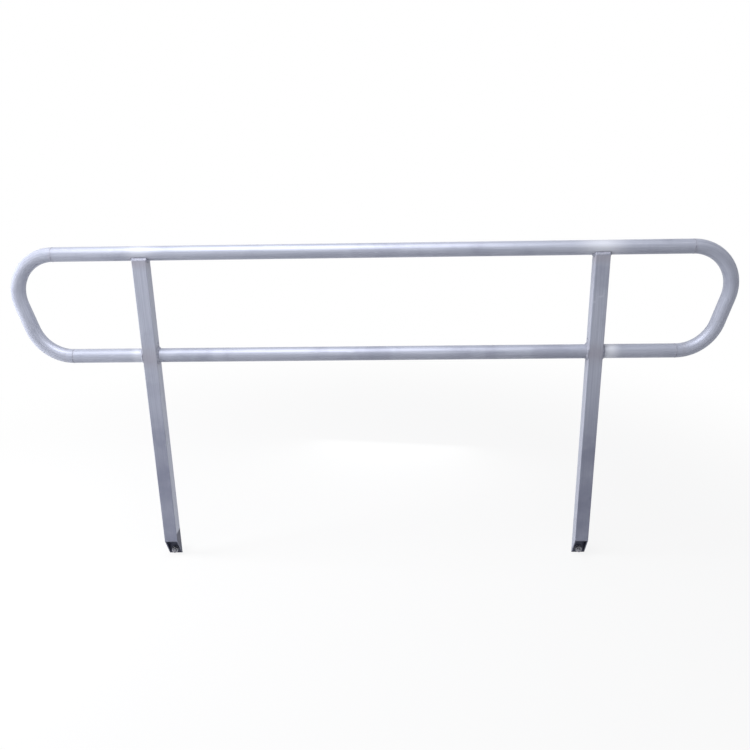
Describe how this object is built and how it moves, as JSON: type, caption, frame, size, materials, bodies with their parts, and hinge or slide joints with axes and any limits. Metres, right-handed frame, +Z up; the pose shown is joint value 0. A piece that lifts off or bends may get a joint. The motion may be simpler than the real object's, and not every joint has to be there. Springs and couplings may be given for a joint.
{
  "type": "ramp handrail",
  "caption": "Ramp handrail of round tube: a top rail and a lower rail joined by bent returns into a closed loop, on square posts that bolt to the ramp's side.",
  "frame": {"origin": "on the ramp-side face of the left post, at the axis of its stud", "axes": "+X along the handrail towards the right post, +Y towards the ramp, square to the posts' faces, +Z up along the posts"},
  "size_m": [1.92, 0.0681, 0.9264],
  "materials": {
    "tube": "satin",
    "post": "satin",
    "weld": "as welded",
    "stud": "zinc plated",
    "zinc": "zinc plated"
  },
  "bodies": {
    "root": {"top_rail": "tube", "lower_rail": "tube", "bend_upper_left": "tube", "bend_upper_right": "tube", "return_left": "tube", "return_right": "tube", "bend_lower_left": "tube", "bend_lower_right": "tube", "post_left": "post", "post_right": "post", "seam_top_left": "weld", "seam_top_right": "weld", "seam_lower_left": "weld", "seam_lower_right": "weld", "top_weld_left": "weld", "top_weld_right": "weld", "inner_weld_left": "weld", "inner_weld_right": "weld", "outer_weld_left": "weld", "outer_weld_right": "weld", "upper_weld_left": "weld", "upper_weld_right": "weld", "under_weld_left": "weld", "under_weld_right": "weld", "stud_left": "stud", "stud_right": "stud", "nut_left": "zinc", "nut_right": "zinc", "washer_left": "zinc", "washer_right": "zinc"}
  },
  "joints": []
}
